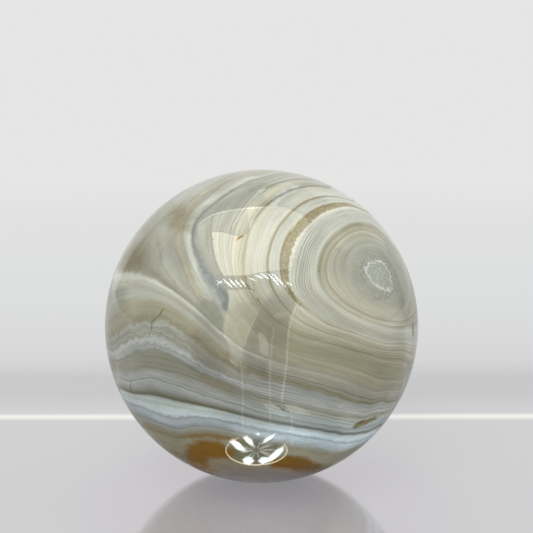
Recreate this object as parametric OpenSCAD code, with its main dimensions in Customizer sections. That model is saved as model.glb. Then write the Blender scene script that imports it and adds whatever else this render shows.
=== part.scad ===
// Polished agate ball with the small open pits that the stone kept.
// Millimetres, +Z up, origin at the centre of the ball.
// The front faces -Y. A bearing turns from the front towards +X,
// and an elevation rises from the equator towards +Z.

/* [Ball] */
// Diameter of the polished ball
ball_d = 60; // [40:1:100]
// Colour of the stone taken all over, as red, green and blue shares
stone_rgb = [0.70, 0.69, 0.64]; // [0:0.01:1]

/* [Vug] */
// Bearing of the wide end of the vug, in degrees
vug_bearing = 40.5; // [-180:0.5:180]
// Elevation of the wide end of the vug, in degrees
vug_elevation = -26.5; // [-60:0.5:60]
// Tilt of the vug's long axis from level, in degrees
vug_slant = 4; // [-90:1:90]
// Share of its length by which each hollow of the vug runs into the next
vug_overlap = 0.25; // [0.1:0.05:0.4]

/* [Trough, the wide end of the vug] */
// Length of the trough at the surface
trough_length = 3.4; // [2:0.1:6]
// Width of the trough at the surface
trough_width = 1.35; // [0.8:0.05:2]
// Depth of the trough below the ball's surface
trough_depth = 0.55; // [0.35:0.05:1]

/* [Neck, the narrow end of the vug] */
// Length of the neck at the surface
neck_length = 2.2; // [1:0.1:4]
// Width of the neck at the surface
neck_width = 0.7; // [0.4:0.05:1]
// Depth of the neck below the ball's surface
neck_depth = 0.35; // [0.2:0.05:0.8]

/* [Pore, at the far end of the neck] */
// Diameter of the pore at the surface
pore_d = 0.6; // [0.4:0.05:1]
// Depth of the pore below the ball's surface
pore_depth = 0.45; // [0.2:0.05:0.8]

/* [Tail, a faint dent beyond the pore] */
// Distance from the pore's rim to the tail
tail_gap = 1.4; // [0.5:0.1:3]
// Length of the tail at the surface
tail_length = 1.2; // [0.8:0.1:3]
// Width of the tail at the surface
tail_width = 0.45; // [0.3:0.05:0.8]
// Depth of the tail below the ball's surface
tail_depth = 0.15; // [0.1:0.05:0.4]

/* [Slit, near the top] */
// Bearing of the slit, in degrees
slit_bearing = -9; // [-180:0.5:180]
// Elevation of the slit, in degrees
slit_elevation = 41.5; // [-60:0.5:80]
// Tilt of the slit's long axis from level, in degrees
slit_slant = 41; // [-90:1:90]
// Length of the slit at the surface
slit_length = 1.7; // [1:0.1:4]
// Width of the slit at the surface
slit_width = 0.42; // [0.3:0.02:0.8]
// Depth of the slit below the ball's surface
slit_depth = 0.2; // [0.15:0.05:0.5]

/* [Hidden] */
$fn = 128;
ball_r = ball_d / 2;
// Places along the vug's axis, measured from the trough's middle
neck_along = (trough_length + neck_length) / 2 - vug_overlap * neck_length;
pore_along = neck_along + (neck_length + pore_d) / 2 - vug_overlap * pore_d;
tail_along = pore_along + (pore_d + tail_length) / 2 + tail_gap;

// Height of an arc of radius r above a chord of the given length
function sagitta(r, chord) = r - sqrt(r * r - chord * chord / 4);

// Radius of the arc that spans the chord with the given rise
function arc_radius(chord, rise) = (chord * chord / 4 + rise * rise) / (2 * rise);

// Radius of the arc that starts and ends on the ball's surface and dips to the depth
function hollow_radius(span, depth) = arc_radius(span, depth - sagitta(ball_r, span));

// Spindle turned about Z, widest in the middle, that cuts a hollow of the
// given length, width and depth where its axis lies out along +X
module spindle(length, width, depth) {
    across_r = hollow_radius(width, depth);
    along_r = hollow_radius(length, depth);
    translate([ball_r - depth + across_r, 0, 0])
        rotate_extrude()
            intersection() {
                translate([across_r - along_r, 0])
                    circle(r = along_r);
                translate([0, -length])
                    square([2 * across_r, 2 * length]);
            }
}

// Sets a hollow cut out along +X at its place on the ball, with its long axis tilted
// from level by slant, then moved along that axis by the given arc
module on_ball(bearing, elevation, slant, along = 0) {
    rotate([0, 0, bearing - 90])
        rotate([0, -elevation, 0])
            rotate([slant - 90, 0, 0])
                rotate([0, -along / ball_r * 180 / PI, 0])
                    children();
}

// One hollow of the vug, at its place along the vug's axis
module vug_hollow(along, length, width, depth) {
    on_ball(vug_bearing, vug_elevation, vug_slant, along)
        spindle(length, width, depth);
}

// The vug: a wide trough that narrows to a neck, ends in a pore and fades in a tail
module vug() {
    vug_hollow(0, trough_length, trough_width, trough_depth);
    vug_hollow(neck_along, neck_length, neck_width, neck_depth);
    vug_hollow(pore_along, pore_d, pore_d, pore_depth);
    vug_hollow(tail_along, tail_length, tail_width, tail_depth);
}

module slit() {
    on_ball(slit_bearing, slit_elevation, slit_slant)
        spindle(slit_length, slit_width, slit_depth);
}

// The whole ball, cut from one piece of stone
module agate_sphere() {
    color(stone_rgb)
        difference() {
            sphere(d = ball_d);
            vug();
            slit();
        }
}

agate_sphere();
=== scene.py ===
"""Polished banded agate sphere on a pale glossy table."""

import math

import bmesh
import bpy
import numpy as np
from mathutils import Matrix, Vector
from mathutils.bvhtree import BVHTree
from mathutils.geometry import tessellate_polygon


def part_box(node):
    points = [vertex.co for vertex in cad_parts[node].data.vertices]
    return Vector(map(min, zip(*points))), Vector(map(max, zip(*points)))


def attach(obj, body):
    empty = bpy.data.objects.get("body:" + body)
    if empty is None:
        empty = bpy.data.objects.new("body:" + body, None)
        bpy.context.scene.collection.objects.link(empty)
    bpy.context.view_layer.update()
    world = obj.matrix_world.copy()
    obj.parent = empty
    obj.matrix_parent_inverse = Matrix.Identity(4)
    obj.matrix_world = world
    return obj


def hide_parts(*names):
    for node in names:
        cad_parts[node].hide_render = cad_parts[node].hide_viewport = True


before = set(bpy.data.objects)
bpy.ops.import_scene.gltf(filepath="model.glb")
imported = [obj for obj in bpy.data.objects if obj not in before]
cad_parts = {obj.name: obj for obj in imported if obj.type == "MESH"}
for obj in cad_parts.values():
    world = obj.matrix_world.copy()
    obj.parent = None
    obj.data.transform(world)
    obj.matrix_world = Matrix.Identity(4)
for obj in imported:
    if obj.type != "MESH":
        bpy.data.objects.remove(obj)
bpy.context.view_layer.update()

# ---------------------------------------------------------------- the ball and the camera
MM = 0.001
NODE = "agate_sphere"
ball_low, ball_high = (np.array(corner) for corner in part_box(NODE))
CENTRE = (ball_low + ball_high) / 2.0
RADIUS = float((ball_high - ball_low).max()) / 2.0
FLOOR_Z = float(ball_low[2])

PHOTO_SIZE = 533.0
PHOTO_MIDDLE = PHOTO_SIZE / 2.0
SENSOR_MM = 36.0
LENS_MM = 67.54
FOCAL_PX = PHOTO_SIZE * LENS_MM / SENSOR_MM
CAMERA_REACH = 6.474 * RADIUS
CAMERA_RISE = math.radians(12.0)
CAMERA_PITCH = math.radians(8.663)
CAMERA_YAW = math.radians(0.284)

EYE = CENTRE + CAMERA_REACH * np.array([0.0, -math.cos(CAMERA_RISE), math.sin(CAMERA_RISE)])
AHEAD = np.array([
    math.sin(CAMERA_YAW) * math.cos(CAMERA_PITCH),
    math.cos(CAMERA_YAW) * math.cos(CAMERA_PITCH),
    -math.sin(CAMERA_PITCH),
])
ASIDE = np.array([math.cos(CAMERA_YAW), -math.sin(CAMERA_YAW), 0.0])
UPWARD = np.cross(ASIDE, AHEAD)


def sight_line(pixels):
    """Unit directions from the camera through pixels of the photograph's frame."""
    pixels = np.atleast_2d(np.array(pixels, float))
    across = (pixels[:, :1] - PHOTO_MIDDLE) / FOCAL_PX
    down = (pixels[:, 1:] - PHOTO_MIDDLE) / FOCAL_PX
    line = AHEAD + across * ASIDE - down * UPWARD
    return line / np.linalg.norm(line, axis=1, keepdims=True)


def seen(pixels):
    """Unit directions from the ball's centre to the points of the ball under these pixels."""
    line = sight_line(pixels)
    start = (EYE - CENTRE) / RADIUS
    along = -line @ start
    inside = np.maximum(along * along - start @ start + 1.0, 0.0)
    point = start + (along - np.sqrt(inside))[:, None] * line
    return point / np.linalg.norm(point, axis=1, keepdims=True)


def turned(bearing, elevation):
    """Unit direction for a bearing, from the front towards the right, and an elevation."""
    bearing, elevation = math.radians(bearing), math.radians(elevation)
    level = math.cos(elevation)
    return np.array([level * math.sin(bearing), -level * math.cos(bearing), math.sin(elevation)])


# ---------------------------------------------------------------- the bands
# Each line runs along one band of the stone. Its level rises outward from the middle
# of the eye, and its points are pixels of the photograph's frame.
LEVEL_LINES = {
    "eye_heart": (0, (
        (378, 275),
    )),
    "grey_heart": (10, (
        (350, 268), (357, 252), (370, 247), (384, 252), (394, 266), (398, 283), (391, 298), (375, 300),
        (359, 290),
    )),
    "soft_ring": (20, (
        (337, 270), (339, 258), (345, 248), (354, 240), (365, 237), (377, 240), (388, 249), (341, 286),
        (350, 297), (362, 305), (378, 311), (395, 313),
    )),
    "olive_inner": (29, (
        (325.5, 270), (327, 259), (332, 249), (340, 240), (350, 233), (361, 230), (372, 232.5),
        (384, 240), (327, 281), (333, 291), (343, 301), (356, 310), (372, 317.5), (388, 321.5),
        (402, 322),
    )),
    "olive_outer": (34.5, (
        (319, 270), (321, 258), (326, 247), (333, 238), (342, 230.5), (352, 225.5), (362, 224.5),
        (372, 227.5), (382, 234), (321, 282), (326, 291), (334, 300), (345, 308.5), (358, 316),
        (372, 322), (386, 326), (401, 327),
    )),
    "pale_ring": (38.5, (
        (316, 270), (318, 258), (323, 246), (330, 236.5), (339, 228.5), (350, 223), (361, 221.5),
        (372, 223.5), (317, 281), (321, 291), (329, 301), (341, 310), (356, 318.5), (371, 325.5),
        (385, 329.5), (400, 330.5),
    )),
    "fine_lines_end": (44, (
        (311, 272), (312.5, 258), (317, 245), (324, 234.5), (333, 225), (344, 218), (356, 216),
        (312, 285), (317, 295), (326, 304.5), (338, 313), (353, 321.5), (369, 329.5), (385, 334.5),
        (401, 335.5),
    )),
    "jagged_edge": (53.5, (
        (289, 276), (289.5, 264), (292, 252), (296.5, 241), (302.5, 232), (308.5, 225.5), (315, 219),
        (323, 213.5), (332, 209.5), (342, 207), (352, 207), (290.5, 287), (294.5, 295), (299.5, 301.5),
        (305, 307), (311, 312), (320, 318.5), (330, 324), (340, 327.5), (350, 330.5), (360, 333.5),
        (370, 337.5), (380, 340.8), (390, 342.8), (402, 342.5),
    )),
    "crescent_edge": (58, (
        (281, 271), (280.5, 259), (282.5, 247), (287, 236), (294, 226.5), (302, 218.5), (311, 212),
        (321, 206.5), (331, 203.7), (342, 203.2), (352, 205), (361, 208.5), (283.5, 283), (288, 291.5),
        (292.5, 298.5), (297.5, 304.5), (304, 310.5), (311, 316.5), (320, 322.5), (330, 327.8),
        (340, 331.3), (350, 334.8), (360, 338), (370, 342), (380, 345), (390, 346.8), (402, 346.3),
    )),
    "thin_brown": (63, (
        (268, 272), (267.5, 260), (270, 248), (274, 237), (280, 226), (288, 216.5), (297, 207.5),
        (306, 202), (316, 198), (326, 196.5), (337, 197), (349, 200), (270, 281), (273, 289.5),
        (278, 298), (284.5, 306.5), (292, 314.5), (301, 321.5), (311, 327), (322, 331), (334, 334.5),
        (346, 338.3), (360, 343), (374, 347), (390, 350), (402, 350),
    )),
    "dark_arc": (72, (
        (328, 188.5), (318, 186.5), (306, 187), (295, 189.5), (285, 193), (276, 198.5), (268, 204.5),
        (262, 210.5), (256, 219), (250.5, 231), (247, 243), (245.5, 255), (245.5, 267), (247, 278),
        (250, 288), (255, 297), (262, 306), (268, 312.5), (276, 320), (283, 325), (290, 329.5),
        (303, 335.5), (315, 339.5), (330, 344), (350, 349.5), (373, 356), (390, 359.5), (402, 360),
    )),
    "second_arc": (79, (
        (312, 180), (298, 179), (286, 181), (276, 184.5), (265.5, 189.5), (256, 197), (247, 206.5),
        (239, 217.5), (233, 230), (230, 246), (229, 261), (231, 274), (234.5, 287), (240.5, 300),
        (249.5, 313), (261, 324.5), (273, 333.5), (287, 340.5), (300, 344.5), (315, 347.8),
        (330, 351.3), (350, 356.5), (370, 362), (385, 366.5), (400, 369),
    )),
    "third_arc": (93, (
        (302, 175.5), (291, 174), (280, 175), (271, 177.5), (262, 180.5), (250, 186.5), (240, 192.5),
        (230, 200), (221, 210), (215, 222), (212.5, 236), (213.5, 250), (217, 263), (222, 275),
        (229, 290), (238, 307), (249, 322), (262, 336), (275, 345.5), (287, 351.5), (300, 356.5),
        (315, 360.5), (330, 364), (350, 370), (370, 377.3), (383, 381), (395, 381.5),
    )),
    "dark_fold": (96, (
        (250, 181.5), (237, 188.5), (226, 196), (214, 205), (204, 214), (197, 223), (193, 233),
        (193, 244), (196, 254), (200, 264), (205, 274), (211, 284), (218, 295), (225, 306), (232, 317),
        (240, 328), (250, 339), (262, 349),
    )),
    "pale_fold": (98, (
        (245, 178), (232, 184.5), (220, 191.5), (209, 199), (200, 206.5), (193, 215), (189, 224),
        (187, 235), (187, 247), (190, 258), (194, 268), (199, 279), (206, 289.5), (215, 301),
        (223, 312), (231, 323), (240, 335), (250, 345),
    )),
    "tan_fold": (99.3, (
        (262, 170), (250, 172.5), (240, 177), (228, 181.5), (217, 187), (208, 192.5), (200, 198.5),
        (194, 205), (188, 213), (184, 222), (181.5, 232), (181, 242), (183, 251), (186, 260),
        (189.5, 270), (194, 280), (200, 291), (208, 302), (217, 313), (226, 324), (235, 335),
        (244, 345),
    )),
    "wedge_1": (100.5, (
        (240, 171.5), (228, 176.5), (215, 182.5), (203, 190), (192, 199), (182, 209), (175, 219.5),
        (171, 231), (170, 243), (172, 255), (177, 267.5), (184, 280), (193, 292.5), (203, 305),
        (214, 317), (225, 329),
    )),
    "wedge_2": (102, (
        (222, 174), (205, 181.5), (190, 190.5), (177, 201.5), (167, 213), (160, 225.5), (156, 238.5),
        (156, 251), (160, 263.5), (168, 276), (179, 288.5), (191, 300.5), (204, 312.5), (217, 325),
    )),
    "wedge_3": (103.3, (
        (170, 200.5), (157, 213.5), (148, 227), (143, 240), (142, 252), (146, 262.5), (154, 272.5),
        (165, 282), (178, 292.5),
    )),
    "light_line": (104.5, (
        (122, 271), (129, 270.5), (136, 271.5), (144, 274.5), (153, 278.5), (163, 284), (173, 290.5),
        (183, 298), (193, 305.5), (203, 314), (213, 323), (223, 332.5), (233, 341), (243, 347.5),
        (253, 353), (264, 357.5), (275, 361.5), (287, 365.5), (305, 369.8), (325, 373.8), (340, 378),
        (350, 381.5), (360, 386), (370, 390), (380, 392), (390, 390.5),
    )),
    "grey_line": (110, (
        (113, 293), (122, 289.5), (132, 287.5), (142, 288), (152, 290), (162, 293.5), (172, 298),
        (182, 305), (192, 313), (202, 321.5), (212, 330.5), (222, 339), (232, 346.5), (243, 353),
        (255, 358.5), (268, 363.5), (282, 368.5), (300, 373), (320, 378), (338, 383.5), (352, 388),
        (365, 392.5), (378, 394.5), (389, 392.5),
    )),
    "olive_top": (119, (
        (110, 320), (120, 311), (130, 305), (140, 302.5), (150, 302.5), (160, 304.5), (170, 308.5),
        (180, 314.5), (190, 322), (200, 330.5), (210, 339), (220, 347.5), (230, 355.5), (240, 361.5),
        (250, 366.5), (262, 370.5), (275, 374.5), (287, 377), (300, 379.8), (320, 385.5), (340, 391.5),
        (352, 396.5), (365, 399), (378, 399.5), (386, 397.5),
    )),
    "brown_foot": (123, (
        (109, 336), (118, 330.5), (125, 326.5), (133, 323), (142, 320.5), (151, 320), (160, 321.5),
        (170, 325), (180, 330.5), (190, 338), (200, 346), (210, 353), (220, 359.8), (230, 366.3),
        (240, 370.5), (250, 374), (262, 377.5), (275, 380.8), (287, 383.5), (300, 386.8), (315, 391),
        (330, 396), (345, 401), (358, 404), (372, 405), (385, 403.5),
    )),
    "wave_1": (126, (
        (110, 346), (120, 340), (128, 335), (135, 331.5), (143, 329.5), (152, 329), (162, 329.5),
        (170, 332.5), (182, 339.5), (192, 347), (202, 354), (212, 361), (222, 367.5), (232, 373.5),
        (245, 379.5), (260, 384), (280, 388), (300, 392), (330, 400), (350, 405.5), (370, 407.5),
        (386, 405.5),
    )),
    "wave_2": (130, (
        (111, 354), (120, 351), (128, 347), (136, 343), (145, 341), (155, 340.5), (163, 343.5),
        (172, 349), (182, 355), (192, 361.5), (202, 367.5), (212, 372.5), (222, 377), (232, 381),
        (245, 385.5), (260, 389.5), (280, 394), (300, 398), (320, 402), (335, 405.5), (350, 409),
        (370, 410.5), (385, 408),
    )),
    "brown_top": (134, (
        (110, 359.5), (118, 360), (126, 356), (134, 352), (143, 350.5), (152, 349.5), (162, 351),
        (172, 354.5), (182, 359.5), (192, 366), (202, 372), (212, 376.5), (222, 380.5), (232, 384.5),
        (245, 389), (258, 393), (275, 397), (300, 402), (320, 406.5), (335, 409.5), (350, 412.5),
        (370, 413), (384, 410),
    )),
    "brown_mid": (138, (
        (111, 366), (122, 366.5), (135, 364.5), (150, 363.5), (165, 365), (178, 368), (190, 372.5),
        (200, 376.5), (210, 380.5), (222, 385.5), (234, 389.5), (245, 393), (256, 396), (270, 399.5),
        (285, 402.8), (300, 406.3), (312, 409.5), (325, 412.3), (340, 415), (355, 416.5), (370, 416),
        (383, 412.5),
    )),
    "wave_3": (145, (
        (113, 376), (124, 377), (135, 376.5), (145, 374), (153, 374), (162, 377), (172, 380.5),
        (182, 384), (192, 388), (202, 391.5), (212, 394.5), (224, 398), (236, 401.5), (250, 406),
        (264, 410), (280, 413.5), (300, 418), (320, 421.3), (338, 424.5), (352, 426.5), (366, 424.5),
        (378, 420.5),
    )),
    "thin_dark": (147.5, (
        (126, 381.5), (134, 381), (142, 380), (150, 378.8), (157, 380), (166, 383), (176, 386),
        (186, 389), (196, 392.8), (206, 396.2), (216, 399.3), (226, 402.3), (237, 405.5), (248, 409),
        (258, 412), (268, 415), (282, 418.3), (300, 421.8), (315, 424.3), (330, 427.3), (345, 429.8),
        (358, 429.3), (371, 426.5),
    )),
    "seam": (157.5, (
        (112, 377), (116, 384), (122, 388.8), (130, 392), (138, 393.3), (148, 394), (160, 396),
        (172, 399), (185, 402), (198, 404.5), (212, 407.5), (225, 410.5), (238, 414), (250, 417),
        (262, 420), (275, 422.7), (290, 425.5), (305, 428), (320, 430.2), (335, 433), (348, 434.6),
        (360, 433.6), (372, 430.5), (382, 426),
    )),
    "blue_line": (166, (
        (127, 402), (135, 405), (143, 408), (151, 411.5), (160, 415), (170, 417.5), (182, 418),
        (195, 417.5), (207, 418), (218, 420), (230, 422.5), (242, 425), (250, 427), (258, 430),
        (268, 431.7), (280, 433.3), (292, 435.2), (305, 437.7), (320, 439.5), (332, 442), (345, 443.3),
        (358, 441.3), (370, 436.5),
    )),
    "second_blue": (170.5, (
        (137, 415.5), (148, 419.5), (158, 423), (167, 426), (175, 429.3), (183, 428.5), (192, 427),
        (205, 427.3), (216, 427.5), (225, 430.3), (236, 432.5), (250, 436), (268, 439), (285, 441),
        (300, 444), (315, 446.5), (330, 448.7), (345, 448.7), (360, 443.5),
    )),
    "amber_line": (175, (
        (140, 424), (152, 429), (164, 433), (174, 436.5), (184, 437), (193, 434.5), (203, 434),
        (213, 434.5), (224, 436.5), (236, 440), (252, 444.5), (270, 448), (288, 451), (303, 453),
        (318, 456), (333, 458), (347, 455.5),
    )),
    "amber_top": (180, (
        (146, 433), (158, 439), (170, 444), (181, 445.5), (190, 443), (200, 440.8), (212, 441.5),
        (224, 444.5), (238, 449.5), (254, 453.5), (270, 456.5), (288, 458), (303, 460), (318, 463.5),
        (333, 465.5), (343, 461.5),
    )),
    "amber_foot": (192, (
        (166, 455), (178, 460), (190, 462.5), (203, 463), (217, 463.5), (232, 465.5), (250, 467.5),
        (270, 469.5), (290, 471.3), (307, 473), (320, 472.5),
    )),
    "foot": (200, (
        (205, 475.5), (220, 477), (240, 479), (260, 480), (285, 479.5),
    )),
}
# Levels round the hidden side, as bearing, elevation and level.
HIDDEN_LEVELS = (
    (80, 0, 44), (100, 25, 52), (90, 60, 66), (120, 0, 70), (125, 35, 68), (95, -25, 128),
    (120, -30, 134), (110, -60, 176),
    (0, 90, 99.5), (120, 70, 84), (180, 70, 102),
    (150, 0, 100), (155, 30, 92), (160, -30, 140), (180, 30, 104), (180, 0, 118), (180, -60, 172),
    (-110, 60, 103.5), (-110, 30, 104), (-150, 30, 108), (-110, 0, 124), (-150, 0, 126),
    (-110, -30, 156), (-150, -30, 152), (-100, -60, 188),
    (0, -90, 210), (60, -75, 206), (-60, -75, 206),
)
SMOOTHING = 1e-4


def level_points():
    """Every point with a known level, as unit directions and their levels."""
    directions, levels = [], []
    for level, pixels in LEVEL_LINES.values():
        directions.extend(seen(pixels))
        levels.extend([level] * len(pixels))
    for bearing, elevation, level in HIDDEN_LEVELS:
        directions.append(turned(bearing, elevation))
        levels.append(level)
    return np.array(directions), np.array(levels, float)


def cubed_gaps(here, there):
    """The cube of the distance from each point here to each point there."""
    gap2 = np.maximum(2.0 - 2.0 * here @ there.T, 0.0)
    return gap2 * np.sqrt(gap2)


def band_levels(directions):
    """One smooth level at each direction, which passes through every traced line."""
    known, levels = level_points()
    count = len(known)
    plane = np.hstack([np.ones((count, 1)), known])
    system = np.zeros((count + 4, count + 4))
    system[:count, :count] = cubed_gaps(known, known) + SMOOTHING * np.eye(count)
    system[:count, count:] = plane
    system[count:, :count] = plane.T
    weights = np.linalg.solve(system, np.concatenate([levels, np.zeros(4)]))
    result = np.empty(len(directions))
    for start in range(0, len(directions), 20000):
        part = directions[start:start + 20000]
        result[start:start + 20000] = (
            cubed_gaps(part, known) @ weights[:count] + weights[count] + part @ weights[count + 1:]
        )
    return result


# ---------------------------------------------------------------- marks on the stone
CRYSTAL = (
    (365, 268), (368, 265), (373, 262), (380, 261), (385, 265), (388, 270), (390, 276), (391, 282),
    (392, 288), (386, 291), (382, 289), (377, 286), (374, 284), (371, 279), (368, 274),
)
# Soft patches over the bands: colour, strength, softness in mm, raggedness and outline. Most are stains and
# tones of the stone; the two marked below are painted shade.
PATCHES = {
    "top_shade": ((140, 143, 133), 0.55, 0.9, 0.5, (
        (262, 185), (266, 190), (258, 199), (248, 206), (238, 209.5), (226, 211), (214, 215), (205, 223),
        (200, 228), (199, 220), (206, 211), (216, 204), (228, 198), (240, 193), (252, 188))),
    "crown_pale": ((192, 197, 190), 0.85, 0.5, 0.3, (
        (270, 204), (276, 195), (284, 188.5), (294, 185), (300, 185), (298, 190), (290, 193.5),
        (282, 200), (275, 207))),
    "arc_shade": ((104, 103, 86), 0.6, 0.2, 0.12, (
        (330, 186.3), (318, 185.4), (308, 185.6), (298, 187), (289, 189.6), (278, 195), (268, 202),
        (260, 210), (254, 219), (256, 219.5), (262.5, 211), (270, 204), (279, 198), (291, 191.2),
        (299, 188.6), (308, 187), (318, 186.7), (330, 187.3))),
    "crown_line": ((128, 128, 114), 0.6, 0.18, 0.1, (
        (323, 181.2), (308, 178.4), (292, 179), (276, 182.4), (264, 188.6), (265, 189.6), (277, 184.2),
        (292, 180.6), (308, 179.8), (322, 182))),
    "crest_line": ((136, 137, 124), 0.55, 0.18, 0.1, (
        (304, 175), (294, 173.6), (282, 174.2), (268, 178), (256, 184), (257, 185), (269, 179.4),
        (283, 175.6), (294, 174.8), (303, 175.8))),
    "slate": ((143, 151, 149), 0.6, 0.7, 0.5, (
        (198, 262), (206, 264), (214, 276), (222, 285), (229, 292), (229, 305), (226, 312), (220, 306),
        (211, 296), (203, 283), (198, 272))),
    "slate_edge": ((112, 119, 115), 0.7, 0.35, 0.25, (
        (218, 287), (225, 289), (229, 295), (228.5, 306), (225.5, 312), (222, 307), (223.5, 299),
        (221, 293))),
    "wedge_foot": ((134, 137, 124), 0.7, 0.5, 0.3, (
        (195, 303), (204, 299), (213, 301), (221, 309), (223, 322), (220, 330), (212, 325), (203, 316))),
    # Painted shade: a flat, duller tone under the low reflected panel, which softens the band lines there.
    "low_panel_painted_shade": ((147, 144, 120), 0.5, 0.7, 0.3, (
        (229, 306), (240, 304), (252, 303), (261, 305), (256, 316), (250, 328), (246, 342), (236, 352),
        (229, 345), (225, 333), (224, 320))),
    # Painted shade: the dark facet between the reflected panels.
    "facet_painted_shade": ((120, 119, 108), 0.48, 1.3, 0.4, (
        (264, 301), (276, 293), (289, 293), (292, 304), (290, 320), (288, 340), (286, 359), (272, 357),
        (257, 352), (246, 346), (250, 334), (255, 320))),
    "crescent_tail": ((112, 106, 70), 0.8, 0.12, 0.1, (
        (287, 287.5), (289.6, 288), (293, 294), (297, 300.5), (301, 306), (298.5, 304.8), (293, 299.5),
        (289, 293.5))),
    "brown_dash": ((120, 108, 84), 0.6, 0.7, 0.5, (
        (198, 374), (212, 378), (226, 383), (237, 386), (237, 389.5), (222, 387), (208, 382), (198, 378))),
    "upper_stain": ((124, 113, 80), 0.68, 2.0, 1.4, (
        (172, 206), (180, 205), (188, 208), (190, 217), (187, 228), (179, 231), (172, 223), (169, 214))),
    "left_stain": ((112, 103, 76), 0.72, 2.2, 1.2, (
        (122, 262), (125, 253), (132, 246), (139, 243), (144, 249), (145, 258), (141, 267), (132, 272),
        (124, 270))),
    "arch_shade": ((112, 105, 82), 0.66, 1.4, 0.8, (
        (188, 338), (200, 338), (213, 347), (228, 357), (246, 367), (246, 374), (232, 371), (214, 362),
        (198, 350))),
    "amber_left": ((128, 90, 0), 0.96, 1.0, 0.6, (
        (188, 447), (194, 441), (205, 439.5), (218, 440.5), (227, 446), (236, 452), (233, 457),
        (222, 457.5), (211, 457.5), (208, 461), (207, 470), (200, 471), (190, 464), (186, 455))),
    "amber_right": ((126, 89, 0), 0.95, 0.9, 0.6, (
        (268, 462), (280, 457), (290, 455), (303, 457.5), (314, 461), (322, 466), (316, 469.5),
        (304, 470), (290, 469), (272, 467))),
    "amber_end": ((120, 96, 56), 0.6, 0.8, 0.5, (
        (306, 463), (320, 464), (332, 468), (322, 473), (306, 473), (290, 472))),
    "amber_strip": ((120, 88, 24), 0.7, 0.4, 0.3, (
        (186, 437), (196, 434), (207, 433.5), (218, 434.5), (230, 437), (238, 440), (229, 441),
        (218, 438.5), (206, 437), (194, 438.5))),
    "foot_streak": ((138, 134, 128), 0.6, 0.5, 0.4, (
        (222, 468), (240, 466), (262, 469), (290, 474), (318, 473), (300, 477), (272, 475), (244, 472))),
    "crescent_lip": ((206, 205, 180), 0.6, 0.1, 0.05, (
        (289.5, 232), (292.5, 226), (297, 220.5), (301.5, 216.5), (300.5, 219), (296.5, 224),
        (293.6, 228.5), (291, 232.5))),
    "right_shade": ((134, 134, 118), 0.45, 0.9, 0.3, (
        (384, 238), (394, 246), (402, 260), (407, 277), (410, 296), (410, 318), (406, 326), (402, 314),
        (398, 298), (395, 284), (391, 268), (386, 252))),
    "right_sliver": ((100, 84, 54), 0.75, 0.25, 0.3, (
        (412, 321), (413.6, 324), (413.9, 332), (413, 338), (412, 332))),
    "amber_foot": ((152, 122, 76), 0.75, 0.6, 0.5, (
        (188, 460), (198, 463), (210, 468), (220, 469), (214, 475), (204, 474), (194, 469))),
    "vug_rim": ((118, 112, 80), 0.8, 0.14, 0.12, (
        (352.4, 427.6), (353.6, 425.4), (358.5, 422.8), (364.7, 420.4), (370.8, 418.5), (378, 417.8),
        (376.5, 419.6), (371.8, 421.2), (366.7, 424.2), (358.5, 427.4), (354.4, 428.8))),
}
# Tints that also reach into the pits.
PIT_PATCHES = {
    "slit_ochre": ((180, 146, 94), 0.85, 0.12, 0.06, (
        (234.8, 241), (235.8, 239.6), (239.5, 237.4), (244, 235.1), (244.2, 236), (241, 238.6),
        (236.4, 241.2))),
}
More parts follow.
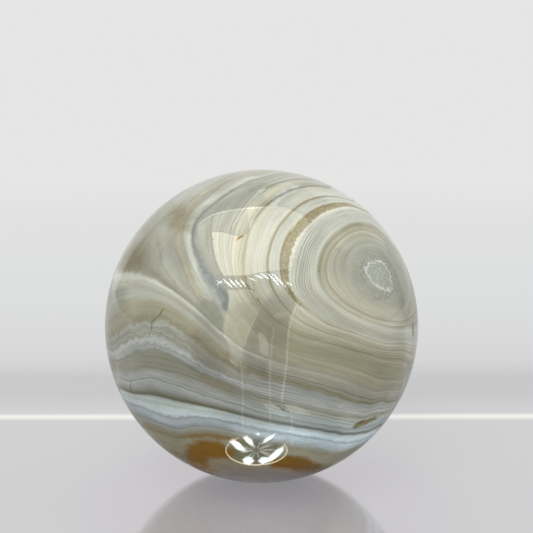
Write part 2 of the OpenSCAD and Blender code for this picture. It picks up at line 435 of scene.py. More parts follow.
# Broad parts that are darker or paler than the rest of their bands. Those marked below are painted shade and
# painted light where reflections lie.
SHADES = {
    "middle_dark": (0.86, 2.2, (
        (197, 316), (206, 312), (222, 326), (240, 340), (262, 352), (286, 362), (296, 370), (280, 377),
        (255, 376), (235, 367), (215, 351), (201, 336))),
    "wedge_light": (1.22, 2.0, (
        (160, 262), (176, 264), (190, 274), (202, 288), (196, 292), (180, 284), (166, 274))),
    "left_dark": (0.84, 1.8, (
        (109, 290), (118, 286), (128, 290), (128, 306), (120, 320), (112, 334), (107, 318))),
    "lens_light": (1.3, 1.8, (
        (114, 362), (122, 358), (132, 356), (138, 364), (136, 374), (124, 378), (116, 372))),
    "top_light": (1.16, 1.2, (
        (322, 216), (332, 211), (345, 208), (358, 208), (366, 212), (352, 216), (338, 221), (328, 228))),
    "foot_right": (1.3, 2.5, (
        (340, 408), (356, 403), (376, 398), (396, 390), (398, 398), (384, 418), (366, 438), (346, 450),
        (338, 440), (342, 424))),
    "foot_left": (1.12, 2.5, (
        (118, 384), (140, 390), (165, 395), (198, 400), (222, 406), (222, 416), (196, 418), (176, 426),
        (168, 444), (152, 436), (134, 412))),
    # Painted shade: the stone is darkened under the window's reflection.
    "window_painted_shade": (0.87, 1.2, (
        (256, 208), (270, 207), (286, 208), (300, 214), (298, 226), (292, 244), (288, 266), (270, 271),
        (254, 272), (250, 250), (253, 230))),
    "fold_dull": (0.74, 0.8, (
        (188, 232), (190, 220), (196, 210), (203, 204.5), (209, 203), (208, 207), (203, 213), (198, 222),
        (195, 236))),
    "crown_grey": (0.92, 0.9, (
        (244, 185), (252, 179), (264, 173), (278, 171), (274, 178), (262, 184), (250, 190))),
    "eye_left": (0.93, 1.0, (
        (352, 264), (362, 262), (368, 268), (366, 280), (356, 284), (350, 276))),
    "fold_pale": (1.1, 0.7, (
        (222, 200), (228, 193), (238, 187), (246, 184), (242, 190), (232, 198), (224, 203))),
    # Painted light: paler at the bright corner of the window's reflection.
    "window_corner_painted_light": (1.08, 0.5, (
        (279, 209), (292, 212), (302, 216), (304, 221), (296, 222), (286, 218))),
    # Painted shade under the top of the low reflected panel.
    "panel_top_painted_shade": (0.93, 0.8, (
        (229, 305), (240, 303), (249, 307), (248, 318), (242, 325), (234, 320))),
    # Painted shade where a dark facet of the reflections lies on the left wedge.
    "wedge_left_painted_shade": (0.93, 1.2, (
        (197, 314), (206, 312), (214, 322), (216, 344), (214, 366), (206, 372), (199, 362), (196, 338))),
    # Painted shade: the dark middle of the flower-like glint.
    "glint_painted_shade": (0.72, 0.8, (
        (232, 446), (244, 440), (262, 437), (281, 444), (283, 453), (270, 462), (248, 463), (234, 457))),
    "crown_light": (1.22, 0.7, (
        (264, 195), (268, 190), (276, 185), (287, 182), (294, 184), (292, 192), (281, 197), (270, 205))),
    "crown_dull": (0.93, 1.0, (
        (298, 180), (310, 178), (330, 182), (330, 194), (312, 193), (300, 191))),
    # Painted shade: the dark gap between two reflected strips.
    "gap_painted_shade": (0.74, 0.5, (
        (246, 353), (256, 357), (267, 362), (267, 378), (257, 376), (246, 373))),
    "eye_top": (1.2, 1.2, (
        (338, 237), (350, 230), (364, 228), (376, 235), (384, 246), (374, 250), (360, 247), (348, 250),
        (338, 246))),
    "lace_dark": (0.72, 1.6, (
        (186, 350), (198, 352), (212, 361), (226, 371), (222, 380), (206, 375), (192, 366))),
    "white_dark": (0.93, 1.4, (
        (128, 398), (140, 398), (156, 402), (160, 412), (146, 416), (132, 408))),
    "white_light": (1.4, 1.2, (
        (232, 428), (244, 428), (262, 432), (282, 436), (280, 440), (258, 438), (240, 434))),
    "rim_light": (1.16, 0.8, (
        (406, 322), (411, 330), (413, 345), (410, 360), (404, 366), (405, 350), (404, 336))),
}
FACE_TURN_START = (247, 262)
FACE_TURN_END = (275, 330)
FACE_SIDE_START = (222, 400)
FACE_SIDE_END = (300, 400)
FACE_LEVELS = (95.0, 108.0)
FACE_END_TURNS = (120.0, 170.0)
CRESCENT_TURN_START = (292, 294)
CRESCENT_TURN_END = (311, 318)
CRESCENT_FAR_TURNS = (-150.0, -110.0)


def signed_gap(directions, outline):
    """Distance in mm from each direction to a closed outline on the ball, negative inside it."""
    corners = seen(outline)
    middle = corners.mean(axis=0)
    middle /= np.linalg.norm(middle)
    across = np.cross([0.0, 0.0, 1.0], middle)
    across /= np.linalg.norm(across)
    upward = np.cross(middle, across)
    height = np.maximum(directions @ middle, 0.05)
    spot = np.stack([directions @ across, directions @ upward], axis=1) / height[:, None]
    ring = np.stack([corners @ across, corners @ upward], axis=1) / (corners @ middle)[:, None]
    gap = np.full(len(directions), np.inf)
    inside = np.zeros(len(directions), bool)
    for start, end in zip(ring, np.roll(ring, -1, axis=0)):
        side = end - start
        offset = spot - start
        reach = np.clip(offset @ side / (side @ side), 0.0, 1.0)
        gap = np.minimum(gap, np.linalg.norm(offset - reach[:, None] * side, axis=1))
        crosses = (start[1] > spot[:, 1]) != (end[1] > spot[:, 1])
        rise = np.where(crosses, end[1] - start[1], 1.0)
        crossing = start[0] + (spot[:, 1] - start[1]) / rise * side[0]
        inside ^= crosses & (spot[:, 0] < crossing)
    gap[directions @ middle < 0.1] = 1.0
    return np.where(inside, -gap, gap) * RADIUS / MM


def turn_about_eye(directions):
    """Angle in degrees round the middle of the eye, from 0 at its left, growing downward."""
    eye = seen(LEVEL_LINES["eye_heart"][1])[0]
    leftward = seen([FACE_TURN_START])[0]
    leftward = leftward - (leftward @ eye) * eye
    leftward /= np.linalg.norm(leftward)
    downward = np.cross(leftward, eye)
    if downward[2] > 0.0:
        downward = -downward
    return np.degrees(np.arctan2(directions @ downward, directions @ leftward))


def smooth_step(value, low, high):
    share = np.clip((value - low) / (high - low), 0.0, 1.0)
    return share * share * (3.0 - 2.0 * share)


def bearing_of(directions):
    """Angle in degrees round the ball, from 0 at the front, growing to the right."""
    return np.degrees(np.arctan2(directions[:, 0], -directions[:, 1]))


def face_share(directions, levels):
    """0 where the bands fan out, over and left of the eye, and 1 where they pass under it."""
    turn = turn_about_eye(directions)
    start, end = turn_about_eye(seen([FACE_TURN_START, FACE_TURN_END]))
    near_eye = smooth_step(turn, start, end) * (1.0 - smooth_step(turn, *FACE_END_TURNS))
    bearing = bearing_of(directions)
    start, end = bearing_of(seen([FACE_SIDE_START, FACE_SIDE_END]))
    far_out = smooth_step(bearing, start, end) * (1.0 - smooth_step(bearing, *FACE_END_TURNS))
    share = smooth_step(levels, *FACE_LEVELS)
    return near_eye * (1.0 - share) + far_out * share


def crescent_share(directions):
    """1 along the brown crescent over the eye, fading out under it."""
    turn = turn_about_eye(directions)
    start, end = turn_about_eye(seen([CRESCENT_TURN_START, CRESCENT_TURN_END]))
    return (1.0 - smooth_step(turn, start, end)) * smooth_step(turn, *CRESCENT_FAR_TURNS)


# ---------------------------------------------------------------- the ball's mesh
FREQUENCY = 80
FINE_SPOTS = (((378, 276), 4.6), ((368, 421.5), 4.6), ((240, 238), 1.6))
FINE_STEPS = 2
# Each step splits a smaller ring than the one before, by this share.
FINE_SHRINK = 0.12
PIT_START = 0.02 * MM
PIT_MARGIN = 0.022 * MM


ICO_CORNERS = 12
# Two corners closer than this, on a unit ball, share a side.
ICO_SIDE = 1.1


def icosahedron():
    """Corners and faces of a regular twenty-sided solid."""
    golden = (1.0 + math.sqrt(5.0)) / 2.0
    corners = []
    for first in (-1.0, 1.0):
        for second in (-golden, golden):
            corners += [(0.0, first, second), (first, second, 0.0), (second, 0.0, first)]
    corners = np.array(corners) / math.hypot(1.0, golden)
    faces = []
    for a in range(ICO_CORNERS):
        for b in range(a + 1, ICO_CORNERS):
            for c in range(b + 1, ICO_CORNERS):
                sides = [np.linalg.norm(corners[i] - corners[j]) for i, j in ((a, b), (b, c), (a, c))]
                if max(sides) < ICO_SIDE:
                    outward = np.linalg.det(corners[[a, b, c]]) > 0.0
                    faces.append((a, b, c) if outward else (a, c, b))
    return corners, faces


def geodesic_ball():
    """A unit ball of near-even triangles, as a bmesh."""
    corners, faces = icosahedron()
    mesh = bmesh.new()
    known = {}

    def vertex(point):
        point = point / np.linalg.norm(point)
        key = tuple(np.round(point, 6) + 0.0)
        if key not in known:
            known[key] = mesh.verts.new(point)
        return known[key]

    for a, b, c in corners[np.array(faces)]:
        grid = [
            [vertex(a + (b - a) * i / FREQUENCY + (c - a) * j / FREQUENCY) for j in range(FREQUENCY + 1 - i)]
            for i in range(FREQUENCY + 1)
        ]
        for i in range(FREQUENCY):
            for j in range(FREQUENCY - i):
                mesh.faces.new((grid[i][j], grid[i + 1][j], grid[i][j + 1]))
                if i + j < FREQUENCY - 1:
                    mesh.faces.new((grid[i + 1][j], grid[i + 1][j + 1], grid[i][j + 1]))
    return mesh


def refine(mesh, pixel, reach_mm):
    """Splits the triangles round one small feature, so that its edges come out crisp."""
    middle = Vector(seen([pixel])[0])
    for step in range(FINE_STEPS):
        reach = (reach_mm * (1.0 - FINE_SHRINK * step)) * MM / RADIUS
        edges = [edge for edge in mesh.edges
                 if max((vertex.co - middle).length for vertex in edge.verts) < reach]
        bmesh.ops.subdivide_edges(mesh, edges=edges, cuts=1, use_grid_fill=True)
        bmesh.ops.triangulate(mesh, faces=[face for face in mesh.faces if len(face.verts) > 3])
    for vertex in mesh.verts:
        vertex.co.normalize()


def seat_on_solid(directions):
    """Depth below the ball at each direction, read from the CAD solid's pits."""
    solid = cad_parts[NODE]
    tree = BVHTree.FromPolygons(
        [solid.matrix_world @ vertex.co for vertex in solid.data.vertices],
        [tuple(polygon.vertices) for polygon in solid.data.polygons],
    )
    start = Vector(CENTRE)
    depth = np.zeros(len(directions))
    for index, direction in enumerate(directions):
        place, _, _, reach = tree.ray_cast(start, Vector(direction))
        if place is not None and RADIUS - reach > PIT_START + PIT_MARGIN:
            depth[index] = RADIUS - reach - PIT_START
    return depth


def add_field(mesh, name, values):
    field = mesh.attributes.new(name, "FLOAT", "POINT")
    field.data.foreach_set("value", np.asarray(values, np.float32))


def make_ball():
    """The agate ball: its mesh, its pits and the fields that its material reads."""
    shape = geodesic_ball()
    for pixel, reach_mm in FINE_SPOTS:
        refine(shape, pixel, reach_mm)
    mesh = bpy.data.meshes.new("agate_ball")
    shape.to_mesh(mesh)
    shape.free()
    points = np.empty(len(mesh.vertices) * 3)
    mesh.vertices.foreach_get("co", points)
    directions = points.reshape(-1, 3)
    directions /= np.linalg.norm(directions, axis=1, keepdims=True)
    depth = seat_on_solid(directions)
    places = CENTRE + directions * (RADIUS - depth)[:, None]
    mesh.vertices.foreach_set("co", places.ravel())
    levels = band_levels(directions)
    add_field(mesh, "layer", levels)
    add_field(mesh, "depth", depth / MM)
    add_field(mesh, "face", face_share(directions, levels))
    add_field(mesh, "crescent", crescent_share(directions))
    add_field(mesh, "crystal", signed_gap(directions, CRYSTAL))
    for name, patch in (*PATCHES.items(), *PIT_PATCHES.items(), *SHADES.items()):
        add_field(mesh, name, signed_gap(directions, patch[-1]))
    mesh.shade_smooth()
    mesh.update()
    ball = bpy.data.objects.new("agate_ball", mesh)
    bpy.context.scene.collection.objects.link(ball)
    ball.data.materials.append(agate_material())
    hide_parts(NODE)
    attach(ball, "root")
    return ball


# ---------------------------------------------------------------- node helpers
def paint(red, green, blue):
    """A linear colour with alpha, from the 0 to 255 values that a screen shows."""
    shares = (value / 255.0 for value in (red, green, blue))
    return tuple(s / 12.92 if s <= 0.04045 else ((s + 0.055) / 1.055) ** 2.4 for s in shares) + (1.0,)


class Shader:
    """Short calls that build one node tree."""

    def __init__(self, owner):
        owner.use_nodes = True
        self.tree = owner.node_tree
        self.tree.nodes.clear()

    def feed(self, socket, value):
        if isinstance(value, bpy.types.NodeSocket):
            self.tree.links.new(value, socket)
        else:
            socket.default_value = value

    def add(self, kind, inputs=None, **settings):
        node = self.tree.nodes.new("ShaderNode" + kind)
        for name, value in settings.items():
            setattr(node, name, value)
        for name, value in (inputs or {}).items():
            self.feed(node.inputs[name], value)
        return node

    def math(self, operation, first, second=0.0):
        return self.add("Math", {0: first, 1: second}, operation=operation).outputs[0]

    def vector(self, operation, first, second=(0.0, 0.0, 0.0)):
        return self.add("VectorMath", {0: first, 1: second}, operation=operation)

    def field(self, name):
        return self.add("Attribute", attribute_name=name).outputs["Fac"]

    def span(self, value, low, high, to_low=0.0, to_high=1.0, soft=True):
        inputs = {"Value": value, "From Min": low, "From Max": high, "To Min": to_low, "To Max": to_high}
        kind = "SMOOTHSTEP" if soft else "LINEAR"
        return self.add("MapRange", inputs, interpolation_type=kind).outputs["Result"]

    def noise(self, place, scale, detail=2.0, roughness=0.5, w=None):
        inputs = {"Vector": place, "Scale": scale, "Detail": detail, "Roughness": roughness}
        if w is not None:
            inputs["W"] = w
        size = "3D" if w is None else "4D"
        return self.add("TexNoise", inputs, noise_dimensions=size).outputs["Fac"]

    def mix(self, share, first, second, blend="MIX"):
        node = self.add("Mix", {0: share, 6: first, 7: second}, data_type="RGBA", blend_type=blend)
        return node.outputs[2]

    def ramp(self, value, stops):
        """A colour ramp over value, with stops as (value, colour)."""
        low, high = stops[0][0], stops[-1][0]
        node = self.add("ValToRGB", {0: self.span(value, low, high, soft=False)})
        elements = node.color_ramp.elements
        for index, (place, colour) in enumerate(stops):
            share = (place - low) / (high - low)
            element = elements[index] if index < 2 else elements.new(share)
            element.position = share
            element.color = paint(*colour)
        return node.outputs["Color"]

    def palette(self, value, stops):
        """Colour ramps joined end to end, since one ramp holds few stops."""
        colour = None
        for start in range(0, len(stops) - 1, RAMP_STOPS):
            part = self.ramp(value, stops[start:start + RAMP_STOPS + 1])
            if colour is None:
                colour = part
            else:
                past = self.math("GREATER_THAN", value, stops[start][0])
                colour = self.mix(past, colour, part)
        return colour

    def hairline(self, place, start, end, width):
        """1 on a thin straight line between two points, falling to 0 at its width."""
        start, end = Vector(start), Vector(end)
        side = end - start
        offset = self.vector("SUBTRACT", place, start).outputs["Vector"]
        along = self.vector("DOT_PRODUCT", offset, side).outputs["Value"]
        share = self.span(along, 0.0, side.length_squared, soft=False)
        step = self.add("VectorMath", {0: side, "Scale": share}, operation="SCALE").outputs["Vector"]
        gap = self.vector("DISTANCE", offset, step).outputs["Value"]
        return self.span(gap, width * 0.25, width, 1.0, 0.0)


# ---------------------------------------------------------------- the agate
RAMP_STOPS = 30
# Threads along the bands: spacing in levels, seed, how much paler or darker, first and last level.
THREADS = (
    (2.6, 0.0, -0.17, 20.0, 112.0), (1.7, 31.0, -0.13, 30.0, 112.0), (3.4, 67.0, 0.1, 20.0, 112.0),
    (2.3, 5.0, -0.38, 114.0, 160.0), (1.3, 17.0, -0.2, 110.0, 172.0), (3.1, 41.0, 0.14, 112.0, 172.0),
    (5.0, 23.0, -0.3, 116.0, 150.0),
)
# The tones of the stone.
TONES = {
    "shadow": (108, 112, 100), "deep_grey": (122, 122, 108), "dark_grey": (137, 138, 125),
    "dull_grey": (146, 148, 135), "mid_grey": (155, 156, 143), "grey": (164, 165, 152),
    "light_grey": (171, 172, 158), "pale_grey": (180, 182, 169), "white_grey": (188, 190, 178),
    "white": (195, 197, 185), "dark_olive": (94, 92, 74), "deep_olive": (128, 124, 102),
    "dull_olive": (142, 139, 114), "olive": (150, 146, 124), "light_olive": (161, 158, 138),
    "dull_cream": (169, 166, 148), "cream": (178, 176, 158), "pale_cream": (185, 182, 163),
    "ivory": (212, 211, 194), "dark_brown": (128, 118, 90), "brown": (145, 135, 106),
    "tan": (160, 152, 122), "dark_cool": (128, 131, 123), "dull_cool": (136, 140, 133),
    "cool": (148, 152, 146), "light_cool": (158, 161, 156), "pale_cool": (170, 173, 167),
    "foot_brown": (144, 132, 112), "foot_grey": (144, 137, 131), "foot_pale": (153, 147, 148),
    "sea": (172, 183, 179), "slate": (146, 153, 157), "dull_blue": (157, 166, 162),
    "haze_blue": (155, 166, 170), "dull_brown": (134, 130, 109), "stone": (143, 141, 125),
    "slate_blue": (158, 175, 181), "blue": (178, 191, 192), "pale_blue": (187, 203, 210),
    "bright_blue": (197, 213, 217), "white_blue": (210, 228, 234),
}
# The tone of each band, from the middle of the eye outward: its level and its tone. The first
# row is for the fan over the eye, and the second for the bands under it.
FAN_BANDS = (
    (0, "pale_cool"), (3.5, "dull_grey"), (12.5, "grey"), (14.5, "mid_grey"), (17.5, "mid_grey"),
    (20, "dull_cream"), (22, "mid_grey"), (25, "dull_cream"), (26.8, "cream"), (28.8, "olive"),
    (31.5, "dull_cream"), (33, "light_olive"), (34.6, "olive"), (36.2, "light_olive"), (39.3, "white"),
    (41, "white_grey"), (44, "pale_grey"), (50.5, "pale_grey"), (52.2, "white"), (53.5, "ivory"),
    (53.9, "dull_cream"), (54.6, "tan"), (56.5, "tan"), (57.5, "brown"), (57.9, "brown"),
    (58.5, "white_grey"), (59, "white"), (60.2, "white_grey"), (62.5, "white_grey"), (62.95, "brown"),
    (63.35, "brown"), (63.8, "cream"), (64.5, "white"), (67, "white_grey"), (71.6, "cream"),
    (71.95, "stone"), (72.3, "dull_olive"), (72.7, "dull_cream"), (73.1, "dull_cream"), (73.5, "olive"),
    (73.9, "dull_cream"), (75.5, "cream"), (77.6, "cream"), (78.4, "mid_grey"), (79.2, "grey"),
    (80.8, "mid_grey"), (82, "light_grey"), (86, "grey"), (87.5, "mid_grey"), (90, "light_grey"),
    (93, "grey"), (95.6, "grey"), (96.15, "cool"), (96.4, "cool"), (96.8, "pale_grey"), (97.3, "white"),
    (98.8, "light_grey"), (99.2, "light_olive"), (99.8, "dull_cream"), (100.5, "mid_grey"), (101, "grey"),
    (102.4, "mid_grey"), (103.2, "stone"), (104, "stone"), (104.6, "mid_grey"), (105.1, "white_grey"),
    (106, "white_grey"), (107.3, "light_grey"), (108.8, "grey"), (110.3, "mid_grey"), (113, "grey"),
    (115, "grey"), (119.3, "olive"), (121.5, "olive"), (123, "dull_brown"), (123.8, "dull_grey"),
    (124.3, "light_cool"), (124.8, "dull_grey"), (125.9, "dark_grey"), (126.4, "mid_grey"),
    (127, "dark_grey"), (128, "dark_grey"), (128.7, "light_cool"), (129.6, "pale_cool"),
    (130.4, "light_cool"), (131.6, "cool"), (132.6, "cool"), (133.4, "dull_cool"), (134.1, "deep_grey"),
    (137.5, "deep_grey"), (140.4, "deep_grey"), (144.3, "cool"), (146, "cool"), (146.9, "dull_cool"),
    (147.25, "deep_grey"), (147.7, "cool"), (148.8, "light_cool"), (152.6, "dull_cool"),
    (156.6, "dark_olive"), (157.6, "dark_olive"), (158.1, "dark_cool"), (158.9, "dull_blue"),
    (160.5, "sea"), (161.3, "dull_blue"), (162.4, "sea"), (164.6, "blue"), (165.4, "haze_blue"),
    (165.9, "dull_cool"), (166.3, "slate"), (167.4, "haze_blue"), (169, "slate"), (170.4, "dark_cool"),
    (170.9, "cool"), (172.2, "dark_grey"), (173.4, "dull_brown"), (175.2, "dark_brown"),
    (176.3, "dull_olive"), (178, "olive"), (181, "dull_olive"), (184, "dull_olive"), (188, "dark_brown"),
    (191, "foot_brown"), (194, "foot_brown"), (197, "foot_grey"), (200, "foot_grey"), (204, "foot_pale"),
    (212, "foot_pale"),
)
FACE_BANDS = (
    (0, "pale_cool"), (3.5, "mid_grey"), (6, "mid_grey"), (10, "grey"), (18, "cream"), (22, "cream"),
    (26, "pale_cream"), (28.6, "light_olive"), (30.4, "pale_cream"), (32.6, "pale_cream"),
    (34.4, "dull_cream"), (35.6, "cream"), (38.6, "white"), (43, "cream"), (49, "light_grey"),
    (52.5, "pale_grey"), (54, "cream"), (54.8, "tan"), (55.6, "cream"), (57.2, "pale_cream"),
    (58.2, "dull_cream"), (60, "light_olive"), (62.5, "light_olive"), (63, "dark_brown"),
    (63.6, "light_olive"), (66, "light_olive"), (68.5, "olive"), (70.9, "dull_olive"),
    (71.8, "dark_brown"), (72.6, "olive"), (75.5, "olive"), (78.5, "dull_olive"), (88, "dull_olive"),
    (90.9, "dull_olive"), (92.8, "light_olive"), (95.6, "olive"), (101, "olive"), (103.4, "stone"),
    (104.7, "stone"), (106.5, "light_olive"), (110, "dull_grey"), (113, "stone"), (115.6, "stone"),
    (117, "deep_grey"), (118.1, "stone"), (119.4, "dull_brown"), (120.6, "deep_olive"),
    (122, "deep_olive"), (123.4, "dark_grey"), (124.8, "cool"), (130.4, "light_cool"),
    (131.6, "light_cool"), (133.2, "pale_cool"), (137.4, "dull_grey"), (139, "grey"), (144.3, "sea"),
    (145.6, "blue"), (147.4, "dull_blue"), (148.6, "dull_blue"), (151, "sea"), (152.8, "slate"),
    (155.2, "shadow"), (156.4, "dull_cool"), (158, "sea"), (160, "bright_blue"), (163.2, "white_blue"),
    (164.8, "pale_blue"), (165.9, "slate_blue"), (167.2, "pale_blue"), (168.6, "pale_blue"),
    (170.4, "blue"), (173, "olive"), (177, "light_olive"), (180, "olive"), (184, "olive"),
    (188, "foot_brown"), (196, "foot_grey"), (204, "foot_pale"), (212, "foot_pale"),
)
# Fine cracks: width in mm and the pixels that each runs through.
CRACKS = (
    (0.2, ((163, 308.5), (159.9, 314), (156.6, 317.6), (153.2, 320.5))),
    (0.22, ((151.9, 321.5), (151.2, 328.5), (149.2, 335.7))),
    (0.2, ((131, 380), (130.6, 386), (132.2, 391.5))),
    (0.34, ((130.2, 388), (132, 392.4))),
    (0.2, ((132.2, 391.5), (134.5, 395), (137, 398.5))),
    (0.16, ((245.5, 284), (252, 290), (257.5, 300), (262, 305))),
    (0.24, ((276, 405), (280, 407.5), (283.8, 411))),
)
SPECKS = ((166, 344.6), (319, 271), (284, 409), (213, 239.5))
SPECK_SIZE = 0.17


def on_ball_mm(pixels):
    """Points of the ball's surface under these pixels, in mm."""
    return (CENTRE + seen(pixels) * RADIUS) / MM


def strongest(shader, marks):
    result = marks[0]
    for mark in marks[1:]:
        result = shader.math("MAXIMUM", result, mark)
    return result


def crack_marks(shader, place):
    """Fine cracks, each a chain of hairlines."""
    lines = []
    swing = shader.add("TexNoise", {"Vector": place, "Scale": 0.9, "Detail": 3.0}).outputs["Color"]
    swing = shader.vector("SUBTRACT", swing, (0.5, 0.5, 0.5)).outputs["Vector"]
    place = shader.vector("ADD", place, scaled(shader, swing, 0.9)).outputs["Vector"]
    for width, chain in CRACKS:
        points = on_ball_mm(chain)
        for start, end in zip(points, points[1:]):
            lines.append(shader.hairline(place, start, end, width))
    return strongest(shader, lines)


def speck_marks(shader, place):
    """Small dark inclusions."""
    dots = []
    for point in on_ball_mm(SPECKS):
        gap = shader.vector("DISTANCE", place, point).outputs["Value"]
        dots.append(shader.span(gap, SPECK_SIZE * 0.4, SPECK_SIZE, 1.0, 0.0))
    return strongest(shader, dots)


def wavered_layer(shader, place):
    """The band level, with the small waves and teeth of real bands."""
    layer = shader.field("layer")

    def wave(scale, size, detail=2.0, middle=None, reach=1.0):
        swing = shader.math("SUBTRACT", shader.noise(place, scale, detail), 0.5)
        if middle is not None:
            away = shader.math("ABSOLUTE", shader.math("SUBTRACT", layer, middle))
            swing = shader.math("MULTIPLY", swing, shader.span(away, reach * 0.3, reach, 1.0, 0.0))
        return shader.math("MULTIPLY", swing, size)

    lace = shader.math("ADD", wave(0.75, 4.4, 3.0, 128.0, 10.0), wave(0.6, 3.0, 3.0, 148.0, 8.0))
    calm = shader.span(shader.field("face"), 0.0, 0.7, 1.0, 0.3)
    shift = shader.math("ADD", wave(0.9, 0.7, 3.0), shader.math("MULTIPLY", lace, calm))
    for part in (wave(2.3, 1.7, 3.0, 53.4, 2.2), wave(0.9, 1.6, 3.0, 168.0, 9.0)):
        shift = shader.math("ADD", shift, part)
    return shader.math("ADD", layer, shift)


def window(shader, value, low, high, edge):
    """1 while value is between low and high, with soft edges."""
    rise = shader.span(value, low - edge, low + edge)
    fall = shader.span(value, high - edge, high + edge, 1.0, 0.0)
    return shader.math("MULTIPLY", rise, fall)


def scaled(shader, colour, lift):
    if isinstance(colour, tuple):
        colour = colour[:3]
    return shader.add("VectorMath", {0: colour, "Scale": lift}, operation="SCALE").outputs["Vector"]


# Plain stone where the crescent has faded out, over the eye and under it, and its levels.
PLAIN_OVER = (190, 191, 177)
PLAIN_UNDER = (182, 179, 160)
FADED_LEVELS = (53.7, 58.3, 0.25)


def toned(bands):
    """The stops of a colour ramp for a row of bands."""
    return [(level, TONES[tone]) for level, tone in bands]


def band_colour(shader, layer):
    """The colours of the bands, which differ above the eye and under it."""
    face = shader.field("face")
    over = shader.palette(layer, toned(FAN_BANDS))
    under = shader.palette(layer, toned(FACE_BANDS))
    colour = shader.mix(face, over, under)
    plain = shader.mix(face, paint(*PLAIN_OVER), paint(*PLAIN_UNDER))
    bare = shader.math("SUBTRACT", 1.0, shader.field("crescent"))
    faded = shader.math("MULTIPLY", window(shader, layer, *FADED_LEVELS), bare)
    above = shader.math("SUBTRACT", 1.0, face)
    return shader.mix(shader.math("MULTIPLY", faded, above), colour, plain)


def threads(shader, place, layer, spacing, seed):
    """1 on thin lines along the bands, at uneven steps, and broken along their way."""
    step = shader.math("ADD", shader.math("DIVIDE", layer, spacing), seed)
    drift = shader.noise(place, 0.05, 2.0, 0.5, w=shader.math("MULTIPLY", step, 0.35))
    phase = shader.math("ADD", step, shader.math("MULTIPLY", drift, 2.5))
    wave = shader.math("SINE", shader.math("MULTIPLY", phase, 2.0 * math.pi))
    kept = shader.noise(place, 0.06, 2.0, 0.5, w=shader.math("MULTIPLY", step, 0.9))
    return shader.math("MULTIPLY", shader.span(wave, 0.7, 1.0), shader.span(kept, 0.45, 0.56))


# The even fine lines round the eye: their step in levels, and first and last level with its edge.
FINE_LINE_STEP = 1.22
FINE_LINE_LEVELS = (44.0, 52.4, 0.8)
# Streaks along the bands: scale, how fast they change across the bands, and strength.
BAND_STREAKS = ((0.07, 0.55, 0.14), (0.10, 1.4, 0.20), (0.16, 3.6, 0.2))
THREAD_EDGE = 3.0


def band_grain(shader, place, layer):
    """Brightness of the fine lines, threads and streaks that run along the bands."""
    wave = shader.math("SINE", shader.math("MULTIPLY", layer, 2.0 * math.pi / FINE_LINE_STEP))
    lines = shader.math("MULTIPLY", wave, window(shader, layer, *FINE_LINE_LEVELS))
    patchy = shader.span(shader.noise(place, 0.22), 0.35, 0.65, 0.1, 0.27)
    low = shader.span(layer, 138.0, 166.0, 1.02, 1.09)
    lift = shader.math("MULTIPLY", low, shader.math("ADD", 1.0, shader.math("MULTIPLY", lines, patchy)))
    fan = shader.span(shader.field("face"), 0.0, 0.5, 0.66, 0.0)
    left = shader.math("MULTIPLY", fan, shader.span(layer, 101.0, 106.0))
    clear = shader.math("SUBTRACT", 1.0, left)
    for spacing, seed, size, first, last in THREADS:
        lines = shader.math("MULTIPLY", threads(shader, place, layer, spacing, seed), size)
        kept = shader.math("MULTIPLY", clear, window(shader, layer, first, last, THREAD_EDGE))
        lines = shader.math("MULTIPLY", lines, kept)
        lift = shader.math("MULTIPLY", lift, shader.math("ADD", 1.0, lines))
    for scale, rate, size in BAND_STREAKS:
        streak = shader.noise(place, scale, 2.0, 0.6, w=shader.math("MULTIPLY", layer, rate))
        streak = shader.span(streak, 0.28, 0.72, 1.0 - size / 2, 1.0 + size / 2, soft=False)
        lift = shader.math("MULTIPLY", lift, streak)
    cloud = shader.noise(place, 0.14, 4.0, 0.55)
    lift = shader.math("MULTIPLY", lift, shader.span(cloud, 0.25, 0.75, 0.95, 1.05, soft=False))
    speckle = shader.noise(place, 3.2, 2.0, 0.7)
    return shader.math("MULTIPLY", lift, shader.span(speckle, 0.25, 0.75, 0.93, 1.07, soft=False))


def with_shades(shader, place, colour):
    """Darkens and pales broad parts, so that the bands aren't even, and paints shade and light where
    reflections lie.
    """
    ragged = shader.math("SUBTRACT", shader.noise(place, 0.4, 3.0, 0.55), 0.5)
    for name, (gain, softness, _) in SHADES.items():
        edge = shader.math("ADD", shader.field(name), shader.math("MULTIPLY", ragged, softness * 1.7))
        colour = scaled(shader, colour, shader.span(edge, -softness, softness, gain, 1.0))
    return colour


def with_patches(shader, place, colour, patches):
    """Soft tones, stains and amber patches over the bands, and painted shade where reflections lie."""
    ragged = shader.math("SUBTRACT", shader.noise(place, 0.6, 5.0, 0.6), 0.5)
    mottle = shader.span(shader.noise(place, 0.9, 3.0, 0.6), 0.3, 0.7, 0.86, 1.16, soft=False)
    for name, (tint, strength, softness, raggedness, _) in patches.items():
        edge = shader.math("ADD", shader.field(name), shader.math("MULTIPLY", ragged, raggedness * 4.0))
        share = shader.span(edge, -softness, softness, strength, 0.0)
        colour = shader.mix(share, colour, scaled(shader, paint(*tint), mottle))
    return colour


FROST_DARK = (150, 154, 144)
FROST_LIGHT = (182, 186, 176)
FROST_HALO = (190, 192, 181)
FROST_RIM = (210, 213, 205)


